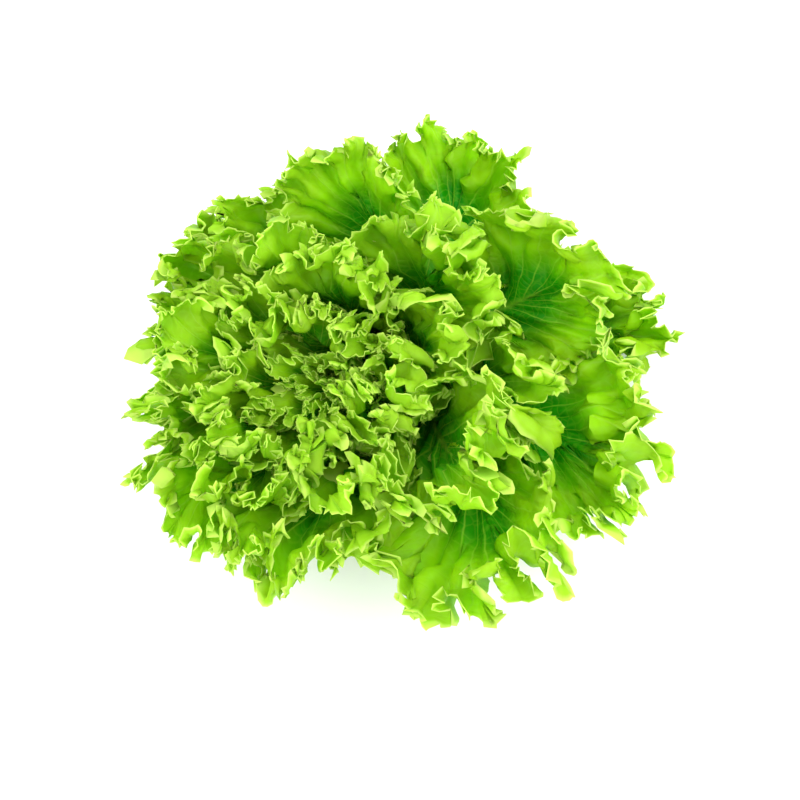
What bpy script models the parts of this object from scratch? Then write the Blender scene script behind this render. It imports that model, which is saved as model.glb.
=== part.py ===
"""Batavia lettuce: one cut head, standing on its stem.

A rosette of ruffled leaves round a short cut stem, with a frilled heart on top.
Metres, +Z up. The origin is the middle of the stem's cut face.

Every leaf is one thin sheet, laid out by a chart. In it, s runs along the
margin from the tip (0) to either base corner, and v runs from the midrib (0)
to the margin (1). The ruffle is a swing of the blade that grows towards the
margin, in long waves with short curled waves on them. The leaves lie in layers,
like the sticks of a fan, and where two would touch their ruffles are eased.
"""

import math
from types import SimpleNamespace

import bmesh
import bpy
import numpy as np
from mathutils.bvhtree import BVHTree

# Head
LEAF_COUNT = 34
HEART_COUNT = 8
FLOOR_LEAVES = 3
GOLDEN_TURN = math.radians(137.508)
FIRST_TURN = math.radians(235)
SIDE_JITTER = 0.12
LAYOUT_SEED = 11
LEAF_SEED = 300
HEART_SEED = 500

# Leaf lengths round the head: the long side, then local gains as (side, spread, gain)
LONG_SIDE = math.radians(40)
LONG_GAIN = 0.15
LOCAL_GAINS = (
    (math.radians(334), math.radians(12), 0.10),
    (math.radians(310), math.radians(26), 0.38),
    (math.radians(250), math.radians(20), 0.12),
    (math.radians(118), math.radians(16), -0.12),
    (math.radians(82), math.radians(14), 0.14),
    (math.radians(62), math.radians(9), -0.10),
    (math.radians(36), math.radians(14), 0.38),
    (math.radians(2), math.radians(14), -0.17),
)

# The hollow beside the heart: inner leaves on this side are shorter
HOLLOW_SIDE = math.radians(44)
HOLLOW_SPREAD = math.radians(30)
HOLLOW_DEPTH = 0.28

# How the margins turn: inwards on the outermost leaves, slightly outwards on the inner ones
CURL = (-0.45, 0.10)

# Blades and gaps
BLADE = 0.0010
ROOT_GAP = 0.0012
CLEAR_BLADE = 0.0018
EASE_STEP = 0.82
EASE_ROUNDS = 25

# How a leaf rises from the stem: start angle and bend, as shares of a full turn-down
FULL_FAN = math.radians(95)
RISE_SHARE = 0.78
UNBEND_SHARE = 0.10
DROOP_SHARE = 0.42
BEND_LENGTH = 0.150
LAYER_SHARE = 0.88

# Whole-head shape: a slow sway of the growth, a lean of the heart, the surface below
SWAY_SEED = 5
SWAY_WAVES = 6
SWAY_SIZE = 0.0032
SWAY_RATES = (6.0, 13.0)
SWAY_START = 0.02
SWAY_FADE = 0.05
LEAN = (-0.066, -0.084)
LEAN_HEIGHT = 0.145
FLOOR_SOFTNESS = 0.004
FLOOR_PRESS = 0.004

# Sheet cells: columns along the margin, rows out from the midrib
LEAF_COLUMNS = 16
HEART_COLUMNS = 10
ROWS = (0.0, 0.52, 0.82, 1.0)

# Stem
CUT_RADIUS = 0.0165
STEM_SIDES = 24
STEM_ROOTS = (0.0160, 0.0075)
STEM_HEIGHTS = (0.012, 0.066)
STEM_TOP = 0.0665
CORE_RADIUS = 0.0090
CORE_BASE = 0.0670
CORE_PROFILE = ((0.0, 1.0), (0.55, 0.93), (0.9, 0.80), (1.0, 0.62), (0.8, 0.3), (0.55, 0.0), (0.0, 0.0))
HEART_HEIGHTS = (0.0695, 0.0770)
ROOTED_LENGTH = 0.016
CORE_TOP = 0.0950
STEM_RINGS = 6
CUT_SHOULDER = 0.009
MERGE = 0.00001

# Colours (linear) and gloss
OUTER_GREEN = (0.11, 0.42, 0.012)
INNER_GREEN = (0.30, 0.62, 0.05)
STEM_COLOUR = (0.62, 0.66, 0.40)
LEAF_ROUGHNESS = 0.45


def smooth(x):
    """A soft step from 0 to 1."""
    x = np.clip(x, 0.0, 1.0)
    return x * x * (3 - 2 * x)


def blend(pair, k):
    """The value at age k, from the outermost leaf's (0) to the innermost one's (1)."""
    return pair[0] + (pair[1] - pair[0]) * k


def make_waver(rng, low, high, count=4):
    """A smooth irregular signal: sines whose rates lie between low and high per metre."""
    rate = rng.uniform(low, high, count)
    shift = rng.uniform(0, 2 * math.pi, count)
    gain = rng.uniform(0.5, 1.0, count)
    return rate, shift, gain * 1.3 / math.sqrt((gain * gain).sum())


def waver(signal, x):
    """The signal's value at x."""
    rate, shift, gain = signal
    return (gain * np.sin(2 * math.pi * rate * np.asarray(x)[..., None] + shift)).sum(-1)


def add_margin(leaf):
    """The flat outline: arclength from the base corner up to the tip, with its x and y."""
    rise = np.linspace(0, leaf.widest, 60)
    crown = leaf.widest + (1 - leaf.widest) * np.sin(np.linspace(0, math.pi / 2, 60))[1:]
    eta = np.concatenate([rise, crown])
    low = leaf.base + (1 - leaf.base) * np.sin(0.5 * math.pi * np.clip(eta / leaf.widest, 0, 1)) ** 1.2
    high = np.sqrt(np.clip(1 - (np.clip(eta - leaf.widest, 0, 1) / (1 - leaf.widest)) ** 2, 0, 1))
    leaf.margin_x = np.where(eta < leaf.widest, low, high) * leaf.width / 2
    leaf.margin_y = eta * leaf.length
    steps = np.hypot(np.diff(leaf.margin_x), np.diff(leaf.margin_y))
    leaf.margin_s = np.concatenate([[0.0], np.cumsum(steps)])
    leaf.reach_s = leaf.margin_s[-1]


def add_signals(leaf, seed):
    """The leaf's own irregularity, drawn from its seed."""
    rng = np.random.default_rng(seed)
    leaf.long_jitter = make_waver(rng, 4, 12)
    leaf.long_depth = make_waver(rng, 6, 16)
    leaf.short_jitter = make_waver(rng, 10, 26)
    leaf.short_depth = make_waver(rng, 12, 30)
    leaf.lobe_signal = make_waver(rng, 16, 40)
    leaf.shift = rng.uniform(0, 2 * math.pi, 4)


def side_off(azimuth, side):
    """The angle from a side of the head, the shorter way round."""
    return (azimuth - side + math.pi) % (2 * math.pi) - math.pi


def side_gain(azimuth):
    """How much longer than plain the leaves on this side of the head are."""
    gain = 1 + LONG_GAIN * math.cos(azimuth - LONG_SIDE)
    for side, spread, extra in LOCAL_GAINS:
        gain += extra * math.exp(-(side_off(azimuth, side) / spread) ** 2)
    return gain


def big_leaf(index, rng):
    """Traits of one of the large leaves, from the outermost (0) inwards."""
    k = index / (LEAF_COUNT - 1)
    leaf = SimpleNamespace(name=f"leaf_{index + 1:02d}", fused=False)
    leaf.azimuth = FIRST_TURN + index * GOLDEN_TURN + rng.uniform(-SIDE_JITTER, SIDE_JITTER)
    leaf.fan = math.radians(blend((93, 23), k ** 0.95) + rng.uniform(-0.5, 0.5))
    gain = 1 + (side_gain(leaf.azimuth) - 1) * (1 - 0.7 * k)
    beside = math.exp(-(side_off(leaf.azimuth, HOLLOW_SIDE) / HOLLOW_SPREAD) ** 2)
    gain -= HOLLOW_DEPTH * smooth((k - 0.5) / 0.2) * beside
    plain = 0.130 + 0.022 * math.sin(math.pi * min(1, 1.1 * k)) - 0.034 * k ** 3
    leaf.length = plain * gain * rng.uniform(0.94, 1.06)
    leaf.width = blend((0.150, 0.084), k) * rng.uniform(0.94, 1.06)
    leaf.base = 0.15
    leaf.widest = 0.66
    leaf.origin = 0.60
    leaf.root_radius = blend(STEM_ROOTS, k)
    leaf.root_height = blend(STEM_HEIGHTS, k)
    leaf.loose = blend((0.008, 0.014), k)
    size = rng.uniform(0.85, 1.25)
    leaf.long_wave = blend((0.066, 0.050), k) * size
    leaf.long_swing = 0.34 * rng.uniform(0.85, 1.2)
    leaf.long_reach = 0.026
    leaf.short_wave = blend((0.0260, 0.0190), k) * size
    leaf.short_swing = 1.70 * rng.uniform(0.85, 1.15)
    leaf.short_reach = blend((0.0080, 0.0065), k) * size
    leaf.curl_out = blend(CURL, min(1, 1.2 * k))
    leaf.long_lean = 0.0020
    leaf.short_lean = 0.0034
    leaf.lobes = 0.0045
    leaf.columns = LEAF_COLUMNS
    add_margin(leaf)
    add_signals(leaf, LEAF_SEED + index)
    return leaf


def heart_leaf(index):
    """Traits of one of the small leaves of the heart, from its outermost (0) inwards."""
    k = index / (HEART_COUNT - 1)
    leaf = SimpleNamespace(name=f"heart_{index + 1:02d}", fused=True)
    leaf.azimuth = FIRST_TURN + (LEAF_COUNT + index) * GOLDEN_TURN
    leaf.fan = math.radians(blend((20, 5), k))
    leaf.length = blend((0.078, 0.050), k)
    leaf.width = blend((0.052, 0.030), k)
    leaf.base = 0.10
    leaf.widest = 0.66
    leaf.origin = 0.60
    leaf.root_radius = blend((0.0038, 0.0012), k)
    leaf.root_height = blend(HEART_HEIGHTS, k)
    leaf.loose = 0.006
    leaf.long_wave = blend((0.030, 0.022), k)
    leaf.long_swing = 0.5
    leaf.long_reach = 0.012
    leaf.short_wave = blend((0.0135, 0.0105), k)
    leaf.short_swing = 1.4
    leaf.short_reach = 0.0046
    leaf.curl_out = 0.35
    leaf.long_lean = 0.0018
    leaf.short_lean = 0.0014
    leaf.lobes = 0.002
    leaf.columns = HEART_COLUMNS
    add_margin(leaf)
    add_signals(leaf, HEART_SEED + index)
    return leaf


def side_ray(leaf, s):
    """The line from the midrib to the margin at s: its start, length and direction."""
    side = np.where(s < 0, -1.0, 1.0)
    along = leaf.reach_s - np.abs(s)
    rooted = along / leaf.reach_s
    end_x = np.interp(along, leaf.margin_s, leaf.margin_x) * side
    end_y = np.interp(along, leaf.margin_s, leaf.margin_y)
    start = leaf.origin * leaf.length * rooted ** 1.05
    length = np.hypot(end_x, end_y - start)
    return rooted, start, length, end_x / length, (end_y - start) / length


def short_phase(leaf, s):
    """Phase of the short waves along the margin."""
    return 2 * math.pi * s / leaf.short_wave + leaf.shift[1] + 1.3 * waver(leaf.short_jitter, s)


def blade_point(leaf, s, v, ease, steps=18):
    """Points of the ruffled blade in the leaf's own layer: across, along, and off it."""
    rooted, start, length, ex, ey = side_ray(leaf, s)
    free = smooth((rooted - 0.08) / 0.34)
    length = length + leaf.lobes * waver(leaf.lobe_signal, s) * free
    share = v[:, None] * (np.arange(steps) + 0.5) / steps
    inside = (1 - share) * length[:, None]
    long_phase = 2 * math.pi * s / leaf.long_wave + leaf.shift[0] + 1.6 * waver(leaf.long_jitter, s)
    short = short_phase(leaf, s)
    long_depth = np.clip(1 + 0.40 * waver(leaf.long_depth, s), 0.2, 2) * free * ease
    short_depth = np.clip(1 + 0.45 * waver(leaf.short_depth, s), 0.1, 2) * free * ease
    curve = np.sin(2 * math.pi * s / 0.09 + leaf.shift[2])[:, None]
    turn = 0.9 * np.exp(-inside / 0.030) * curve
    long_fade = np.exp(-inside / leaf.long_reach)
    short_fade = np.exp(-inside / leaf.short_reach)
    angle = (leaf.long_swing * long_depth)[:, None] * long_fade * np.sin(long_phase[:, None] + turn)
    angle += (leaf.short_swing * short_depth)[:, None] * short_fade * np.sin(short[:, None] + turn)
    angle += leaf.curl_out * long_fade * (free * ease)[:, None]
    off = np.sin(angle).mean(1) * v * length
    out = np.cos(angle).mean(1) * v * length
    edge = (1 - v) * length
    slide = -leaf.long_lean * long_depth * np.sin(2 * long_phase) * np.exp(-edge / leaf.long_reach)
    slide -= leaf.short_lean * short_depth * np.sin(2 * short) * np.exp(-edge / leaf.short_reach)
    slide *= v
    return out * ex + slide * ey, start + out * ey - slide * ex, off


def sway(points):
    """The slow irregular sway and the lean of the whole head, nothing at the cut face."""
    rng = np.random.default_rng(SWAY_SEED)
    fade = smooth((np.linalg.norm(points, axis=1) - SWAY_START) / SWAY_FADE)
    moved = points.copy()
    for _ in range(SWAY_WAVES):
        rate = rng.normal(size=3)
        rate *= rng.uniform(*SWAY_RATES) / np.linalg.norm(rate)
        push = rng.normal(size=3)
        push *= SWAY_SIZE / np.linalg.norm(push)
        wave = fade * np.sin(2 * math.pi * (points @ rate) + rng.uniform(0, 2 * math.pi))
        moved += push * wave[:, None]
    leaning = smooth(moved[:, 2] / LEAN_HEIGHT)
    moved[:, 0] += LEAN[0] * leaning
    moved[:, 1] += LEAN[1] * leaning
    return moved


def head_point(leaf, across, along, off):
    """Points of the leaf in the head: along its bent rise, then swayed, above the surface."""
    fan = leaf.fan + off / np.maximum(LAYER_SHARE * along, 0.020)
    share = fan / FULL_FAN
    start = FULL_FAN * RISE_SHARE * share
    bend = FULL_FAN * (DROOP_SHARE * np.sign(share) * np.abs(share) ** 3 - UNBEND_SHARE * share)
    bend /= BEND_LENGTH
    bend = np.where(np.abs(bend) < 1e-3, 1e-3, bend)
    radius = leaf.root_radius + (np.cos(start) - np.cos(start + bend * along)) / bend
    height = leaf.root_height + (np.sin(start + bend * along) - np.sin(start)) / bend
    turn = leaf.azimuth + across / (np.maximum(radius, 0.010) + leaf.loose)
    return sway(np.stack([radius * np.cos(turn), radius * np.sin(turn), height], -1))


def above_floor(points):
    """The points with those near or below the surface pressed softly onto it."""
    pressed = points.copy()
    pressed[:, 2] = FLOOR_SOFTNESS * np.logaddexp(0, points[:, 2] / FLOOR_SOFTNESS)
    return pressed


def settle(leaf):
    """Turn an outer leaf down until its lowest ruffles just press on the surface."""
    low, high = math.radians(80), math.radians(110)
    for _ in range(14):
        leaf.fan = (low + high) / 2
        points = head_point(leaf, *blade_point(leaf, leaf.s, leaf.v, leaf.ease))
        if points[:, 2].min() < -FLOOR_PRESS:
            high = leaf.fan
        else:
            low = leaf.fan


def add_chart(leaf):
    """The leaf's cells in its chart, finer at the margin, split into triangles."""
    bm = bmesh.new()
    bmesh.ops.create_grid(bm, x_segments=leaf.columns, y_segments=len(ROWS) - 1, size=1)
    outer = -1 + 4 / (len(ROWS) - 1) - 0.01
    split = []
    for edge in bm.edges:
        a, b = edge.verts
        level = abs(a.co.y - b.co.y) < 1e-6
        if level and a.co.y > outer:
            split.append(edge)
    bmesh.ops.subdivide_edges(bm, edges=split, cuts=1, use_grid_fill=True, use_single_edge=True)
    bmesh.ops.triangulate(bm, faces=bm.faces[:])
    bm.verts.ensure_lookup_table()
    u = np.array([vert.co.x for vert in bm.verts])
    v = np.interp([vert.co.y for vert in bm.verts], np.linspace(-1, 1, len(ROWS)), ROWS)
    leaf.s = u * leaf.reach_s
    leaf.v = v
    slide_room = 0.4 * leaf.reach_s / leaf.columns
    off_crest = (short_phase(leaf, leaf.s) % math.pi) - math.pi / 2
    nudge = np.clip(-off_crest * leaf.short_wave / (2 * math.pi), -slide_room, slide_room)
    inner = 1 - smooth((np.abs(u) - 0.9) / 0.1)
    leaf.s = leaf.s + nudge * inner * smooth((v - 0.6) / 0.3)
    leaf.faces = np.array([[vert.index for vert in face.verts] for face in bm.faces])
    leaf.rim = np.array([[vert.index for vert in edge.verts] for edge in bm.edges if edge.is_boundary])
    leaf.ease = np.ones(len(u))
    bm.free()


def place(leaf):
    """The leaf's sheet points in the head, and the guard tree used to keep leaves apart."""
    across, leaf.along, off = blade_point(leaf, leaf.s, leaf.v, leaf.ease)
    leaf.points = above_floor(head_point(leaf, across, leaf.along, off))
    corners = leaf.points[leaf.faces]
    normal = np.cross(corners[:, 1] - corners[:, 0], corners[:, 2] - corners[:, 0])
    lift = np.zeros_like(leaf.points)
    for column in range(3):
        np.add.at(lift, leaf.faces[:, column], normal)
    lift *= CLEAR_BLADE / 2 / (np.linalg.norm(lift, axis=1, keepdims=True) + 1e-12)
    count = len(leaf.points)
    skin = np.concatenate([leaf.points + lift, leaf.points - lift])
    rim = np.concatenate([
        np.stack([leaf.rim[:, 0], leaf.rim[:, 1], leaf.rim[:, 1] + count], -1),
        np.stack([leaf.rim[:, 0], leaf.rim[:, 1] + count, leaf.rim[:, 0] + count], -1),
    ])
    faces = np.concatenate([leaf.faces, leaf.faces + count, rim])
    leaf.owner = np.concatenate([leaf.faces, leaf.faces, leaf.rim[:, [0, 1, 1]], leaf.rim[:, [0, 1, 1]]])
    leaf.tree = BVHTree.FromPolygons(skin.tolist(), faces.tolist(), all_triangles=True)


def crossings(one, other):
    """Sheet points of each leaf that belong to cells where the two come too close."""
    pairs = one.tree.overlap(other.tree)
    if not pairs:
        return None
    pairs = np.array(pairs)
    if one.fused and other.fused:
        free = one.along[one.owner[pairs[:, 0]]].max(1) > ROOTED_LENGTH
        free &= other.along[other.owner[pairs[:, 1]]].max(1) > ROOTED_LENGTH
        pairs = pairs[free]
        if len(pairs) == 0:
            return None
    return np.unique(one.owner[pairs[:, 0]]), np.unique(other.owner[pairs[:, 1]])


def ease_leaves(leaves):
    """Lower the ruffles where neighbouring leaves would touch, until all are clear."""
    for leaf in leaves:
        place(leaf)
    for _ in range(EASE_ROUNDS):
        hits = {}
        for i, one in enumerate(leaves):
            for j in range(i + 1, len(leaves)):
                found = crossings(one, leaves[j])
                if found is not None:
                    hits.setdefault(i, []).append(found[0])
                    hits.setdefault(j, []).append(found[1])
        for index, found in hits.items():
            leaf = leaves[index]
            leaf.ease[np.unique(np.concatenate(found))] *= EASE_STEP
            place(leaf)
        if not hits:
            break


def leaf_colour(k):
    """Outer leaves are a deeper green, inner ones lighter and yellower."""
    return tuple(blend(pair, k) for pair in zip(OUTER_GREEN, INNER_GREEN))


def plain_material(name, colour, roughness):
    """A matt or glossy surface of one colour."""
    material = bpy.data.materials.new(name)
    material.use_nodes = True
    shader = material.node_tree.nodes["Principled BSDF"]
    shader.inputs["Base Color"].default_value = (*colour, 1.0)
    shader.inputs["Roughness"].default_value = roughness
    shader.inputs["Metallic"].default_value = 0.0
    material.diffuse_color = (*colour, 1.0)
    return material


def sheet_object(leaf, collection):
    """The leaf's sheet as an object, thickened by Solidify."""
    mesh = bpy.data.meshes.new(leaf.name)
    mesh.from_pydata(leaf.points.tolist(), [], leaf.faces.tolist())
    sheet = bmesh.new()
    sheet.from_mesh(mesh)
    bmesh.ops.remove_doubles(sheet, verts=sheet.verts[:], dist=MERGE)
    sheet.to_mesh(mesh)
    sheet.free()
    item = bpy.data.objects.new(leaf.name, mesh)
    collection.objects.link(item)
    solid = item.modifiers.new("Blade", "SOLIDIFY")
    solid.thickness = BLADE
    solid.offset = 0.0
    return item


def turned(name, profile, sides, collection):
    """A turned solid from its (radius, height) profile at +X, top to bottom."""
    mesh = bpy.data.meshes.new(name)
    points = [(radius, 0.0, height) for radius, height in profile]
    mesh.from_pydata(points, [(i, i + 1) for i in range(len(points) - 1)], [])
    item = bpy.data.objects.new(name, mesh)
    collection.objects.link(item)
    screw = item.modifiers.new("Turn", "SCREW")
    screw.steps = sides
    screw.render_steps = sides
    screw.use_merge_vertices = True
    screw.merge_threshold = MERGE
    bake(item)
    return item


def bake(item):
    """Make the object's evaluated mesh its own mesh, with no modifiers left."""
    graph = bpy.context.evaluated_depsgraph_get()
    mesh = bpy.data.meshes.new_from_object(item.evaluated_get(graph))
    mesh.name = item.name
    item.modifiers.clear()
    item.data = mesh


def swayed(item):
    """Move the object's points with the sway and lean of the head."""
    points = np.array([vert.co[:] for vert in item.data.vertices])
    for vert, point in zip(item.data.vertices, sway(points)):
        vert.co = point


def make_stem(collection):
    """The cut stem: a flat face below, narrowing upwards inside the leaf roots."""
    profile = [(0.0, STEM_TOP)]
    for step in range(STEM_RINGS + 1):
        k = 1 - step / STEM_RINGS
        height = min(blend(STEM_HEIGHTS, k), STEM_TOP)
        profile.append((blend(STEM_ROOTS, k) - ROOT_GAP, height))
    profile.append((CUT_RADIUS, CUT_SHOULDER))
    profile.append((CUT_RADIUS, 0.0))
    profile.append((0.0, 0.0))
    stem = turned("stem", profile, STEM_SIDES, collection)
    swayed(stem)
    stem.data.materials.append(plain_material("stem", STEM_COLOUR, 0.6))
    return stem


def fill_cavities(item):
    """Keep only the outer skin, so gaps sealed in between crossing leaves become solid."""
    bm = bmesh.new()
    bm.from_mesh(item.data)
    left = set(bm.verts)
    skins = []
    while left:
        skin = {left.pop()}
        edge_of_skin = list(skin)
        while edge_of_skin:
            vert = edge_of_skin.pop()
            for edge in vert.link_edges:
                near = edge.other_vert(vert)
                if near in left:
                    left.discard(near)
                    skin.add(near)
                    edge_of_skin.append(near)
        skins.append(skin)
    skins.sort(key=len)
    for skin in skins[:-1]:
        bmesh.ops.delete(bm, geom=list(skin), context="VERTS")
    bmesh.ops.triangulate(bm, faces=bm.faces[:])
    bm.to_mesh(item.data)
    bm.free()


def make_heart(leaves, collection):
    """The heart: its small leaves joined to a slim core that they grow from."""
    rise = CORE_TOP - CORE_BASE
    profile = [(CORE_RADIUS * radius, CORE_BASE + rise * height) for radius, height in CORE_PROFILE]
    heart = turned("heart", profile, 16, collection)
    swayed(heart)
    for leaf in leaves:
        piece = sheet_object(leaf, collection)
        bake(piece)
        join = heart.modifiers.new("Join", "BOOLEAN")
        join.operation = "UNION"
        join.solver = "MANIFOLD"
        join.object = piece
        bake(heart)
        bpy.data.objects.remove(piece)
    fill_cavities(heart)
    heart.data.materials.clear()
    heart.data.materials.append(plain_material("heart", leaf_colour(1.0), LEAF_ROUGHNESS))
    return heart


def main():
    for item in list(bpy.data.objects):
        bpy.data.objects.remove(item)
    collection = bpy.data.collections.new("batavia lettuce")
    bpy.context.scene.collection.children.link(collection)
    rng = np.random.default_rng(LAYOUT_SEED)
    leaves = [big_leaf(index, rng) for index in range(LEAF_COUNT)]
    leaves += [heart_leaf(index) for index in range(HEART_COUNT)]
    for leaf in leaves:
        add_chart(leaf)
    for leaf in leaves[:FLOOR_LEAVES]:
        settle(leaf)
    ease_leaves(leaves)
    make_stem(collection)
    for index, leaf in enumerate(leaves[:LEAF_COUNT]):
        blade = sheet_object(leaf, collection)
        colour = leaf_colour(index / (LEAF_COUNT - 1))
        blade.data.materials.append(plain_material(leaf.name, colour, LEAF_ROUGHNESS))
    make_heart(leaves[LEAF_COUNT:], collection)


if __name__ == "__main__":
    main()
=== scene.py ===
"""Batavia lettuce: the fine leaves, their finish and the stage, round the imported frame."""

import functools
import math
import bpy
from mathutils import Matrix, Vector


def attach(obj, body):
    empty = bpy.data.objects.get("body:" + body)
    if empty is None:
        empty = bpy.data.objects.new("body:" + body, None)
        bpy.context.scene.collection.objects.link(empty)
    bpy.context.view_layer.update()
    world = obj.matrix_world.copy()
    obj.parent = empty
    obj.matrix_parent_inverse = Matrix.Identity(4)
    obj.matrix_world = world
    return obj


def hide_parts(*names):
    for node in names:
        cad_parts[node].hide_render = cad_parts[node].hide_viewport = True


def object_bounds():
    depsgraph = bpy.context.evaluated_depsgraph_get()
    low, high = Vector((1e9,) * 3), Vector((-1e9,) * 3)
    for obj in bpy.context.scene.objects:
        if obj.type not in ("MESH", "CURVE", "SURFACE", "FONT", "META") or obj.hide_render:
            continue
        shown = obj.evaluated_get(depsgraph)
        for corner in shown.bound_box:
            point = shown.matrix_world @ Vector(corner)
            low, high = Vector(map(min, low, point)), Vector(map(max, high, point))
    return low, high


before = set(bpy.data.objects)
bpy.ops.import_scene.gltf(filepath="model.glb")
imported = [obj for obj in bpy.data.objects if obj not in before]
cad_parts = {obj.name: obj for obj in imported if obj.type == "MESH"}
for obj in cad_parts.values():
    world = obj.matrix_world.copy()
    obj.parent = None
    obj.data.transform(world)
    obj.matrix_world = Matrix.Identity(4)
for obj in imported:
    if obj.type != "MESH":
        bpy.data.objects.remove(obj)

from types import SimpleNamespace

import bmesh
import bpy
import numpy as np
from mathutils import Vector
from mathutils.bvhtree import BVHTree

bl_info = {
    "name": "Batavia lettuce",
    "version": (1, 0, 0),
    "blender": (4, 5, 0),
    "location": "3D View > Sidebar > Lettuce",
    "description": "Dresses a batavia lettuce head: ruffled leaves, heart, cut stem and stage",
    "category": "Add Mesh",
}

CAD_BOX = [list(corner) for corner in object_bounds()]

# Head, as in the frame
LEAF_COUNT = 34
HEART_COUNT = 8
FLOOR_LEAVES = 3
GOLDEN_TURN = math.radians(137.508)
FIRST_TURN = math.radians(235)
SIDE_JITTER = 0.12
LAYOUT_SEED = 11
LEAF_SEED = 300
HEART_SEED = 500
LONG_WAVES = (0.066, 0.050)

# Leaf lengths round the head: the long side, then local gains as (side, spread, gain)
LONG_SIDE = math.radians(40)
LONG_GAIN = 0.15
LOCAL_GAINS = (
    (math.radians(334), math.radians(12), 0.10),
    (math.radians(310), math.radians(26), 0.38),
    (math.radians(250), math.radians(20), 0.12),
    (math.radians(118), math.radians(16), -0.12),
    (math.radians(82), math.radians(14), 0.14),
    (math.radians(62), math.radians(9), -0.10),
    (math.radians(36), math.radians(14), 0.38),
    (math.radians(2), math.radians(14), -0.17),
)

# The hollow beside the heart: inner leaves on this side are shorter
HOLLOW_SIDE = math.radians(44)
HOLLOW_SPREAD = math.radians(30)
HOLLOW_DEPTH = 0.28

# How the margins turn: inwards on the outermost leaves, slightly outwards on the inner ones
CURL = (-0.45, 0.10)

# Folds grow from nothing at the root, and their crests curve on the way in
FOLD_START = 0.08
FOLD_GROWTH = 0.34
CREST_TURN = 0.9
CREST_REACH = 0.030
CREST_WAVE = 0.09

# Gaps kept between neighbouring leaves
CLEAR_BLADE = 0.0018
EASE_STEP = 0.82
EASE_ROUNDS = 25
ROOTED_LENGTH = 0.016

# How a leaf rises from the stem: start angle and bend, as shares of a full turn-down
FULL_FAN = math.radians(95)
RISE_SHARE = 0.78
UNBEND_SHARE = 0.10
DROOP_SHARE = 0.42
BEND_LENGTH = 0.150
LAYER_SHARE = 0.88
LEAST_LAYER = 0.020
LEAST_RADIUS = 0.010
LEAST_BEND = 1e-3

# Whole-head shape: a slow sway of the growth, a lean of the heart, the surface below
SWAY_SEED = 5
SWAY_WAVES = 6
SWAY_SIZE = 0.0032
SWAY_RATES = (6.0, 13.0)
SWAY_START = 0.02
SWAY_FADE = 0.05
LEAN = (-0.066, -0.084)
LEAN_HEIGHT = 0.145
FLOOR_SOFTNESS = 0.004
FLOOR_PRESS = 0.004
SETTLE_FANS = (math.radians(80), math.radians(110))
SETTLE_ROUNDS = 14

# Stem roots, from the outermost leaf's to the innermost one's
STEM_ROOTS = (0.0160, 0.0075)
STEM_HEIGHTS = (0.012, 0.066)
HEART_HEIGHTS = (0.0695, 0.0770)

# Coarse cells of the eased layout: columns along the margin, rows out from the midrib
LEAF_COLUMNS = 16
HEART_COLUMNS = 10
COARSE_ROWS = (0.0, 0.52, 0.82, 1.0)

# Fine cells: rows out from the midrib, and the rows where the columns are doubled
FINE_ROWS = (0.0, 0.22, 0.40, 0.54, 0.64, 0.73, 0.80, 0.86, 0.905, 0.94, 0.968, 0.986, 1.0)
MIDDLE_ROW = 3
MARGIN_ROW = 6
ROW_ROOM = 0.01
SAME_ROW = 1e-6

# Columns are spaced partly by the flat margin, mostly by the true run of the ruffled one
CHART_END = 0.9999
MARGIN_SAMPLES = 3000
FLAT_SHARE = 0.3
RUN_SHARE = 0.7

# Fine leaves: how their margins turn, and the side of the head where the folds are broader
FINE_SEED = 900
FINE_CURL = (-0.60, -0.20)
BROAD_SIDE = math.radians(30)
BROAD_GAIN = 0.16

# The blade's fine relief, and where it starts past the root
FINE_START = 0.05
FINE_GROWTH = 0.25
BLISTER_WAVE = 0.011
CRUMPLE_WAVE = 0.026
RIB_WIDTHS = (0.0012, 0.0045)

# How far a dressed blade may stand above the solids, and how it is shortened until it fits
OVER_TOP = 0.0045
SHORTEN = 0.985
SHORTEN_ROUNDS = 6

# The share of a fold's own height that takes part in the lean of the head
FOLD_LEAN = 0.25

# Leaf finish: greens from the outermost leaves to the innermost ones, and where along the
# blade, from the midrib (0) to the margin (1), the green changes. The dark green near the
# midrib is painted shade of the head's hollows; the pale rim is partly the leaf's own margin
# and partly painted light on the lit lips of the folds
GREEN_COUNT = 6
HEART_AGE = 1.25
GREEN_STOPS = (0.34, 0.64, 0.974, 0.994)
PLAN_SIZE = 0.2
SIDE_VEINS = 30.0
RIPPLE = 0.5
NET_SHARE = 0.20
VEIN_SHARE = 0.65
THROUGH_SHARE = 0.44
THROUGH_GAIN = 0.08

# Stage: the floor lies just below the cut face, the lamps aim at the middle of the head
FLOOR_SIZE = 6
FLOOR_DEPTH = -0.0002
KEY_PLACE = (-0.6, -0.7, 1.1)
KEY_SIZE = 0.7
FILL_PLACE = (0.9, -0.2, 0.9)
FILL_SIZE = 0.8
LAMP_AIM = (0, 0, 0.07)
SENSOR_WIDTH = 36

MERGE = 0.000002
SMOOTH_ANGLE = math.radians(80)
BODY = "root"


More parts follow.
